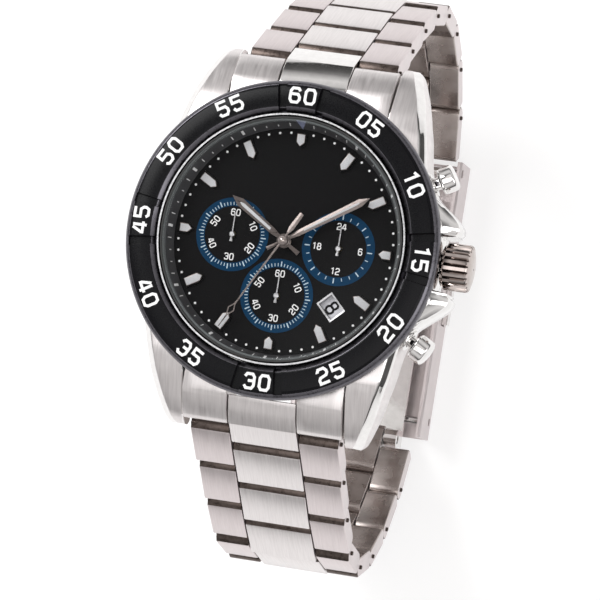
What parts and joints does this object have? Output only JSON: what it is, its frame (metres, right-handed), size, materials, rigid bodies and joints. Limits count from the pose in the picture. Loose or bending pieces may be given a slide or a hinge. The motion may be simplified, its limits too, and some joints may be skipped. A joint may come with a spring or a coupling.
{
  "type": "chronograph wristwatch",
  "caption": "Chronograph wristwatch with a round dial, subdials, a numbered bezel, crown, pushers and a three-row link bracelet closed by a folding clasp.",
  "frame": {"origin": "centre of the caseback's outer face, on the dial's axis", "axes": "+X to 3 o'clock (the crown), +Y to 12 o'clock, +Z out of the dial; the clasp's cover is level below the case"},
  "size_m": [0.0458, 0.0813, 0.072],
  "materials": {
    "brushed_steel": "brushed",
    "polished_steel": "polished",
    "black_metal": "gloss",
    "dial_black": "sunray",
    "glass": "clear",
    "rubber": "matt",
    "brass": "satin",
    "white_print": "matt",
    "holder_plastic": "matt",
    "battery_steel": "satin",
    "hand_steel": "polished",
    "lume": "matt",
    "blue_ring": "satin"
  },
  "bodies": {
    "head": {"case_body": "brushed_steel", "caseback": "polished_steel", "caseback_gasket": "rubber", "bezel_spring": "polished_steel", "crystal": "glass", "crystal_gasket": "rubber", "chapter_ring": "dial_black", "dial": "dial_black", "movement_holder": "holder_plastic", "movement_plate": "brass", "battery": "battery_steel", "crown_tube": "polished_steel", "pusher_tube_upper": "polished_steel", "pusher_tube_lower": "polished_steel", "end_link_12": "brushed_steel", "end_link_6": "brushed_steel", "spring_bar_12": "polished_steel", "spring_bar_6": "polished_steel", "end_link_pin_12": "polished_steel"},
    "bezel": {"bezel": "black_metal"},
    "date_ring": {"date_ring": "white_print"},
    "hour_hand": {"hour_hand": "hand_steel", "hour_wheel": "brass"},
    "minute_hand": {"minute_hand": "hand_steel"},
    "chrono_seconds_hand": {"chrono_seconds_hand": "hand_steel"},
    "chrono_minutes_hand": {"chrono_minutes_hand": "hand_steel", "chrono_minutes_wheel": "brass"},
    "small_seconds_hand": {"small_seconds_hand": "hand_steel", "small_seconds_wheel": "brass"},
    "hour24_hand": {"hour24_hand": "hand_steel", "hour24_wheel": "brass"},
    "crown_stem": {"crown_stem": "polished_steel"},
    "crown": {"crown": "brushed_steel"},
    "pusher_upper": {"pusher_upper": "polished_steel"},
    "pusher_lower": {"pusher_lower": "polished_steel"},
    "link_6_1": {"link_6_1": "brushed_steel"},
    "link_6_2": {"link_6_2": "brushed_steel"},
    "link_6_3": {"link_6_3": "brushed_steel"},
    "link_6_4": {"link_6_4": "brushed_steel"},
    "link_6_5": {"link_6_5": "brushed_steel"},
    "link_6_6": {"link_6_6": "brushed_steel"},
    "link_6_7": {"link_6_7": "brushed_steel"},
    "link_6_8": {"link_6_8": "brushed_steel"},
    "clasp_inner": {"clasp_blade_inner": "polished_steel", "clasp_pin_middle": "polished_steel", "clasp_end_pin": "polished_steel"},
    "clasp_outer": {"clasp_blade_outer": "polished_steel"},
    "clasp_cover": {"clasp_cover": "polished_steel", "clasp_pin_cover": "polished_steel", "clasp_spring_bar": "polished_steel"},
    "clasp_button_left": {"clasp_button_left": "polished_steel"},
    "clasp_button_right": {"clasp_button_right": "polished_steel"},
    "link_12_1": {"link_12_1": "brushed_steel"},
    "link_12_2": {"link_12_2": "brushed_steel"},
    "link_12_3": {"link_12_3": "brushed_steel"},
    "link_12_4": {"link_12_4": "brushed_steel"},
    "link_12_5": {"link_12_5": "brushed_steel"},
    "link_12_6": {"link_12_6": "brushed_steel"},
    "link_12_7": {"link_12_7": "brushed_steel"},
    "link_12_8": {"link_12_8": "brushed_steel"}
  },
  "joints": [
    {"name": "bezel_turn", "type": "hinge", "parent": "head", "child": "bezel", "pos_m": [0, 0, 0.0102], "axis": [0, 0, 1], "continuous": true},
    {"name": "crown_pull", "type": "slide", "parent": "head", "child": "crown_stem", "axis": [1, 0, 0], "range_m": [0, 0.0014]},
    {"name": "crown_turn", "type": "hinge", "parent": "crown_stem", "child": "crown", "pos_m": [0.0228, 0, 0.005], "axis": [1, 0, 0], "continuous": true},
    {"name": "pusher_upper_press", "type": "slide", "parent": "head", "child": "pusher_upper", "axis": [-0.866, -0.5, 0], "range_m": [0, 0.0007], "stiffness_N_per_m": 600, "springref_m": -0.0006},
    {"name": "pusher_lower_press", "type": "slide", "parent": "head", "child": "pusher_lower", "axis": [-0.866, 0.5, 0], "range_m": [0, 0.0007], "stiffness_N_per_m": 600, "springref_m": -0.0006},
    {"name": "minute_turn", "type": "hinge", "parent": "head", "child": "minute_hand", "pos_m": [0, 0, 0.00945], "axis": [0, 0, -1], "continuous": true},
    {"name": "hour_turn", "type": "hinge", "parent": "head", "child": "hour_hand", "pos_m": [0, 0, 0.009], "axis": [0, 0, -1], "continuous": true},
    {"name": "hour24_turn", "type": "hinge", "parent": "head", "child": "hour24_hand", "pos_m": [0.0072, 0, 0.0084], "axis": [0, 0, -1], "continuous": true},
    {"name": "small_seconds_turn", "type": "hinge", "parent": "head", "child": "small_seconds_hand", "pos_m": [0, -0.0072, 0.0084], "axis": [0, 0, -1], "continuous": true},
    {"name": "chrono_seconds_turn", "type": "hinge", "parent": "head", "child": "chrono_seconds_hand", "pos_m": [0, 0, 0.0099], "axis": [0, 0, -1], "continuous": true},
    {"name": "chrono_minutes_turn", "type": "hinge", "parent": "head", "child": "chrono_minutes_hand", "pos_m": [-0.0072, 0, 0.0084], "axis": [0, 0, -1], "continuous": true},
    {"name": "date_turn", "type": "hinge", "parent": "head", "child": "date_ring", "pos_m": [0, 0, 0.007], "axis": [0, 0, 1], "continuous": true},
    {"name": "link_6_1_hinge", "type": "hinge", "parent": "head", "child": "link_6_1", "pos_m": [0, -0.0249, 0.001], "axis": [-1, 0, 0], "range_deg": [0, 40]},
    {"name": "link_6_2_hinge", "type": "hinge", "parent": "link_6_1", "child": "link_6_2", "pos_m": [0, -0.0296, -0.00596], "axis": [-1, 0, 0], "range_deg": [0, 5]},
    {"name": "link_6_3_hinge", "type": "hinge", "parent": "link_6_2", "child": "link_6_3", "pos_m": [0, -0.03429, -0.01293], "axis": [-1, 0, 0], "range_deg": [0, 9]},
    {"name": "link_6_4_hinge", "type": "hinge", "parent": "link_6_3", "child": "link_6_4", "pos_m": [0, -0.03849, -0.0202], "axis": [-1, 0, 0], "range_deg": [0, 24]},
    {"name": "link_6_5_hinge", "type": "hinge", "parent": "link_6_4", "child": "link_6_5", "pos_m": [0, -0.0401, -0.02845], "axis": [-1, 0, 0], "range_deg": [0, 29]},
    {"name": "link_6_6_hinge", "type": "hinge", "parent": "link_6_5", "child": "link_6_6", "pos_m": [0, -0.03821, -0.03663], "axis": [-1, 0, 0], "range_deg": [0, 22]},
    {"name": "link_6_7_hinge", "type": "hinge", "parent": "link_6_6", "child": "link_6_7", "pos_m": [0, -0.03401, -0.04391], "axis": [-1, 0, 0], "range_deg": [0, 21]},
    {"name": "link_6_8_hinge", "type": "hinge", "parent": "link_6_7", "child": "link_6_8", "pos_m": [0, -0.02797, -0.04974], "axis": [-1, 0, 0], "range_deg": [0, 19]},
    {"name": "clasp_end_hinge", "type": "hinge", "parent": "link_6_8", "child": "clasp_inner", "pos_m": [0, -0.02069, -0.05394], "axis": [-1, 0, 0], "range_deg": [0, 35]},
    {"name": "clasp_unfold", "type": "hinge", "parent": "clasp_inner", "child": "clasp_outer", "pos_m": [0, 0.0148, -0.0578], "axis": [1, 0, 0], "range_deg": [0, 170]},
    {"name": "clasp_cover_unfold", "type": "hinge", "parent": "clasp_outer", "child": "clasp_cover", "pos_m": [0, -0.0173, -0.0586], "axis": [1, 0, 0], "range_deg": [-170, 0]},
    {"name": "clasp_button_left_press", "type": "slide", "parent": "clasp_cover", "child": "clasp_button_left", "axis": [1, 0, 0], "range_m": [0, 0.0007], "stiffness_N_per_m": 600, "springref_m": -0.0006},
    {"name": "clasp_button_right_press", "type": "slide", "parent": "clasp_cover", "child": "clasp_button_right", "axis": [-1, 0, 0], "range_m": [0, 0.0007], "stiffness_N_per_m": 600, "springref_m": -0.0006},
    {"name": "link_12_8_hinge", "type": "hinge", "parent": "clasp_cover", "child": "link_12_8", "pos_m": [0, 0.01902, -0.05434], "axis": [-1, 0, 0], "range_deg": [0, 29]},
    {"name": "link_12_7_hinge", "type": "hinge", "parent": "link_12_8", "child": "link_12_7", "pos_m": [0, 0.02669, -0.05092], "axis": [-1, 0, 0], "range_deg": [0, 23]},
    {"name": "link_12_6_hinge", "type": "hinge", "parent": "link_12_7", "child": "link_12_6", "pos_m": [0, 0.03293, -0.0453], "axis": [-1, 0, 0], "range_deg": [0, 25]},
    {"name": "link_12_5_hinge", "type": "hinge", "parent": "link_12_6", "child": "link_12_5", "pos_m": [0, 0.03688, -0.03789], "axis": [-1, 0, 0], "range_deg": [0, 25]},
    {"name": "link_12_4_hinge", "type": "hinge", "parent": "link_12_5", "child": "link_12_4", "pos_m": [0, 0.03805, -0.02957], "axis": [-1, 0, 0], "range_deg": [0, 23]},
    {"name": "link_12_3_hinge", "type": "hinge", "parent": "link_12_4", "child": "link_12_3", "pos_m": [0, 0.03659, -0.0213], "axis": [-1, 0, 0], "range_deg": [0, 19]},
    {"name": "link_12_2_hinge", "type": "hinge", "parent": "link_12_3", "child": "link_12_2", "pos_m": [0, 0.03317, -0.01362], "axis": [-1, 0, 0], "range_deg": [0, 10]},
    {"name": "link_12_1_hinge", "type": "hinge", "parent": "link_12_2", "child": "link_12_1", "pos_m": [0, 0.0291, -0.00628], "axis": [-1, 0, 0], "range_deg": [0, 6]}
  ],
  "couplings": [
    {"joint": "hour_turn", "follows": "minute_turn", "ratio": 0.083333},
    {"joint": "hour24_turn", "follows": "minute_turn", "ratio": 0.041667},
    {"joint": "chrono_minutes_turn", "follows": "chrono_seconds_turn", "ratio": 0.016667},
    {"joint": "clasp_cover_unfold", "follows": "clasp_unfold", "ratio": -1}
  ]
}
